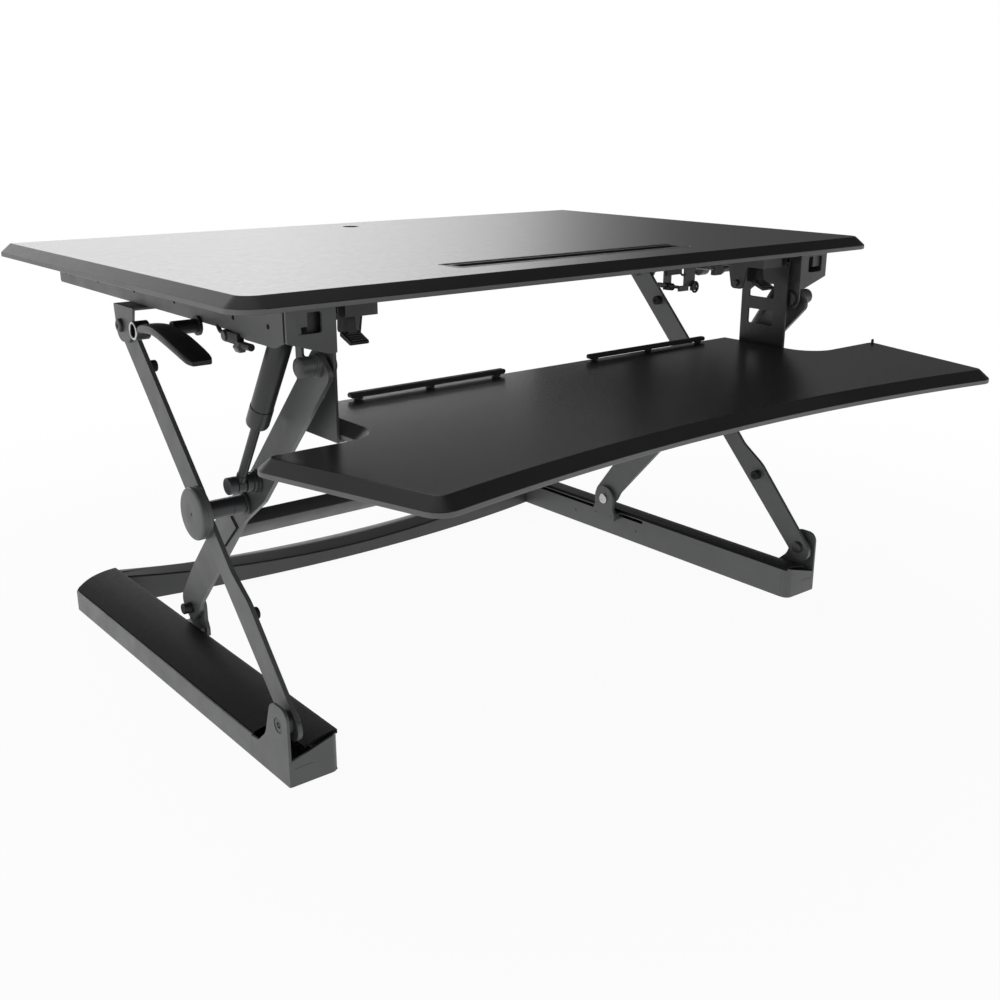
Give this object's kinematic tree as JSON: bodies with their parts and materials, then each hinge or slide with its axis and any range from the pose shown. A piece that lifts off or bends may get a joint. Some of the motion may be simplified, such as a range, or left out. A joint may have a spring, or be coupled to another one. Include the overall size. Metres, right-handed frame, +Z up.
{
  "type": "standing desk converter",
  "caption": "Height-adjustable desktop riser: a chamfered black board on scissor arms with gas springs, wide feet, side release handles and a removable bowed keyboard tray.",
  "frame": {"origin": "on the surface it stands on, in the middle of the whole object's footprint at its working height", "axes": "+X to the user's right, +Y away from the user, +Z up"},
  "size_m": [0.9156, 0.8197, 0.4882],
  "materials": {
    "coated_steel": "satin grey powder coat",
    "dark_steel": "black oxide",
    "zinc": "bright zinc plate",
    "laminate": "black textured laminate on fibreboard",
    "black_plastic": "fine-grained moulding",
    "spring_paint": "semi-gloss dark grey",
    "rubber": "matt"
  },
  "bodies": {
    "base": {"base_rail_left": "coated_steel", "base_rail_right": "coated_steel", "foot_cover_left": "black_plastic", "foot_cover_right": "black_plastic", "front_clevis_left": "coated_steel", "front_clevis_right": "coated_steel", "lower_pivot_pin_left": "dark_steel", "lower_pivot_pin_right": "dark_steel", "foot_pad_left": "rubber", "foot_pad_right": "rubber", "rear_beam": "coated_steel", "rear_beam_cap": "coated_steel"},
    "outer_arms": {"outer_arm_left": "coated_steel", "outer_arm_right": "coated_steel", "hub_disc_left": "coated_steel", "hub_disc_right": "coated_steel", "arm_bumper_lower_left": "rubber", "arm_bumper_lower_right": "rubber", "arm_bumper_upper_left": "rubber", "arm_bumper_upper_right": "rubber"},
    "inner_arms": {"inner_arm_left": "coated_steel", "inner_arm_right": "coated_steel", "inner_cross_beam": "coated_steel", "centre_axle_left": "dark_steel", "centre_axle_right": "dark_steel", "spring_stud_left": "dark_steel", "spring_stud_right": "dark_steel"},
    "lower_carriages": {"lower_carriage_left": "coated_steel", "lower_carriage_right": "coated_steel", "lower_slide_pin_left": "zinc", "lower_slide_pin_right": "zinc"},
    "upper_carriages": {"upper_carriage_left": "coated_steel", "upper_carriage_right": "coated_steel", "upper_slide_bolt_left": "dark_steel", "upper_slide_bolt_right": "dark_steel"},
    "spring_rods": {"gas_rod_left": "spring_paint", "gas_rod_right": "spring_paint"},
    "spring_cylinders": {"gas_cylinder_left": "spring_paint", "gas_cylinder_right": "spring_paint"},
    "desk": {"desktop": "laminate", "tablet_slot": "black_plastic", "cable_grommet": "black_plastic", "side_frame_left": "coated_steel", "side_frame_right": "coated_steel", "front_bracket_left": "coated_steel", "front_bracket_right": "coated_steel", "front_pivot_pin_left": "dark_steel", "front_pivot_pin_right": "dark_steel", "tray_hanger_left": "coated_steel", "tray_hanger_right": "coated_steel", "release_cable": "black_plastic"},
    "handle_left": {"release_handle_left": "black_plastic"},
    "handle_right": {"release_handle_right": "black_plastic"},
    "tray": {"keyboard_tray": "laminate", "tray_bracket_left": "coated_steel", "tray_bracket_right": "coated_steel", "stop_bar_left": "black_plastic", "stop_bar_right": "black_plastic"},
    "lever_left": {"release_lever_left": "black_plastic"},
    "lever_right": {"release_lever_right": "black_plastic"}
  },
  "joints": [
    {"name": "lift", "type": "hinge", "parent": "base", "child": "outer_arms", "pos_m": [0, -0.15673, 0.0638], "axis": [1, 0, 0], "range_deg": [-43.45, 5.45]},
    {"name": "centre_pivot", "type": "hinge", "parent": "outer_arms", "child": "inner_arms", "pos_m": [0, 0.00816, 0.23908], "axis": [1, 0, 0], "range_deg": [-10.95, 86.95]},
    {"name": "desk_pivot", "type": "hinge", "parent": "inner_arms", "child": "desk", "pos_m": [0, -0.15673, 0.41436], "axis": [1, 0, 0], "range_deg": [-43.5, 5.5]},
    {"name": "lower_carriage_pivot", "type": "hinge", "parent": "inner_arms", "child": "lower_carriages", "pos_m": [0, 0.17305, 0.0638], "axis": [1, 0, 0], "range_deg": [-43.5, 5.5]},
    {"name": "upper_carriage_pivot", "type": "hinge", "parent": "outer_arms", "child": "upper_carriages", "pos_m": [0, 0.17305, 0.41436], "axis": [1, 0, 0], "range_deg": [-5.5, 43.5]},
    {"name": "spring_pivot", "type": "hinge", "parent": "inner_arms", "child": "spring_rods", "pos_m": [0, -0.02209, 0.27124], "axis": [1, 0, 0], "range_deg": [-2.73, 0.35]},
    {"name": "spring_stroke", "type": "slide", "parent": "spring_rods", "child": "spring_cylinders", "axis": [0, -0.5421, 0.8403], "range_m": [-0.0307, 0.0039]},
    {"name": "handle_left_squeeze", "type": "hinge", "parent": "desk", "child": "handle_left", "pos_m": [-0.43, 0.00817, 0.434], "axis": [1, 0, 0], "range_deg": [-12, 0], "stiffness_Nm_per_rad": 1.5, "springref_deg": 8.59},
    {"name": "handle_right_squeeze", "type": "hinge", "parent": "desk", "child": "handle_right", "pos_m": [0.43, 0.00817, 0.434], "axis": [1, 0, 0], "range_deg": [-12, 0], "stiffness_Nm_per_rad": 1.5, "springref_deg": 8.59},
    {"name": "tray_slide", "type": "slide", "parent": "desk", "child": "tray", "axis": [0, -1, 0], "range_m": [0, 0.06]},
    {"name": "lever_left_press", "type": "hinge", "parent": "desk", "child": "lever_left", "pos_m": [-0.302, -0.12883, 0.4475], "axis": [1, 0, 0], "range_deg": [-10, 0], "stiffness_Nm_per_rad": 0.5, "springref_deg": 11.46},
    {"name": "lever_right_press", "type": "hinge", "parent": "desk", "child": "lever_right", "pos_m": [0.302, -0.12883, 0.4475], "axis": [1, 0, 0], "range_deg": [-10, 0], "stiffness_Nm_per_rad": 0.5, "springref_deg": 11.46}
  ],
  "couplings": [
    {"joint": "centre_pivot", "follows": "lift", "ratio": -2},
    {"joint": "desk_pivot", "follows": "lift", "ratio": 1},
    {"joint": "lower_carriage_pivot", "follows": "lift", "ratio": 1},
    {"joint": "upper_carriage_pivot", "follows": "lift", "ratio": -1},
    {"joint": "spring_pivot", "follows": "lift", "ratio": 0.0626},
    {"joint": "spring_stroke", "follows": "lift", "m_per_rad": 0.0404}
  ]
}
